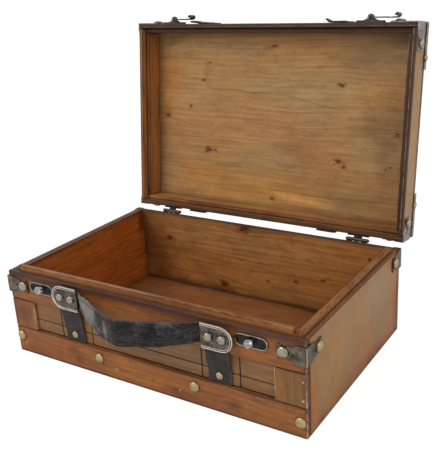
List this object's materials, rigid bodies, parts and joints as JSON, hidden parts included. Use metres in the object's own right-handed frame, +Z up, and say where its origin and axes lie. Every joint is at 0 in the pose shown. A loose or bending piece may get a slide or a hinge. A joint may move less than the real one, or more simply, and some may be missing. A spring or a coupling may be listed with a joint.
{
  "type": "wooden suitcase-style storage box",
  "caption": "Wooden box built like a small suitcase: shallow lid on back hinges, swing-hook latches, corner brackets, leather straps and a leather front handle",
  "frame": {"origin": "centre of the box's underside, at floor level", "axes": "+X to the right as seen from the front, +Y to the back where the hinges are, +Z up"},
  "size_m": [0.389, 0.3607, 0.3624],
  "materials": {
    "aged_steel": "aged grey steel sheet, bronze tint",
    "antique_brass": "pale antique brass, worn",
    "bright_steel": "worn bright steel",
    "leather": "blue-black leather, worn grey",
    "wood_inside": "bare honey-coloured softwood, matt",
    "wood_panel": "olive-brown stained board, worn satin varnish",
    "wood_rail": "stained orange-brown boards with a worn satin varnish",
    "wood_side": "stained brown boards with a worn satin varnish"
  },
  "bodies": {
    "base": {"back_wall": "wood_side", "base_bracket_back_left": "aged_steel", "base_bracket_back_right": "aged_steel", "base_bracket_front_left": "aged_steel", "base_bracket_front_right": "aged_steel", "catch_plate_left": "aged_steel", "catch_plate_right": "aged_steel", "catch_stud_left": "bright_steel", "catch_stud_right": "bright_steel", "floor_panel": "wood_inside", "front_bottom_rail": "wood_rail", "front_left_stile": "wood_rail", "front_liner": "wood_inside", "front_panel": "wood_panel", "front_right_stile": "wood_panel", "front_top_rail": "wood_rail", "handle_band": "leather", "handle_plate_left": "aged_steel", "handle_plate_right": "aged_steel", "hinge_base_leaf_left": "aged_steel", "hinge_base_leaf_right": "aged_steel", "hinge_pin_left": "aged_steel", "hinge_pin_right": "aged_steel", "left_liner": "wood_inside", "left_wall": "wood_side", "rail_nail_1": "antique_brass", "rail_nail_2": "antique_brass", "rail_nail_3": "antique_brass", "rail_nail_4": "antique_brass", "right_liner": "wood_inside", "right_wall": "wood_side", "strap_left": "leather", "strap_right": "leather", "strap_rivet_left": "antique_brass", "strap_rivet_right": "antique_brass"},
    "lid": {"hinge_lid_leaf_left": "aged_steel", "hinge_lid_leaf_right": "aged_steel", "latch_plate_left": "aged_steel", "latch_plate_right": "aged_steel", "lid_back_liner": "wood_inside", "lid_back_wall": "wood_side", "lid_bracket_back_left": "aged_steel", "lid_bracket_back_right": "aged_steel", "lid_bracket_front_left": "aged_steel", "lid_bracket_front_right": "aged_steel", "lid_cap_back_left": "aged_steel", "lid_cap_back_right": "aged_steel", "lid_cap_front_left": "aged_steel", "lid_cap_front_right": "aged_steel", "lid_front_liner": "wood_inside", "lid_front_wall": "wood_side", "lid_left_liner": "wood_inside", "lid_left_wall": "wood_side", "lid_right_liner": "wood_inside", "lid_right_wall": "wood_side", "lid_strap_left": "leather", "lid_strap_right": "leather", "lid_top_panel": "wood_side"},
    "left_hook": {"latch_hook_left": "aged_steel"},
    "right_hook": {"latch_hook_right": "aged_steel"}
  },
  "joints": [
    {"name": "lid_hinge", "type": "hinge", "parent": "base", "child": "lid", "pos_m": [0, 0.1275, 0.104], "axis": [1, 0, 0], "range_deg": [0, 97.3]},
    {"name": "left_hook_swing", "type": "hinge", "parent": "lid", "child": "left_hook", "pos_m": [-0.138, 0.16912, 0.35021], "axis": [0, -0.1271, -0.9919], "range_deg": [-100, 80]},
    {"name": "right_hook_swing", "type": "hinge", "parent": "lid", "child": "right_hook", "pos_m": [0.1334, 0.16912, 0.35021], "axis": [0, -0.1271, -0.9919], "range_deg": [-90, 90]}
  ]
}
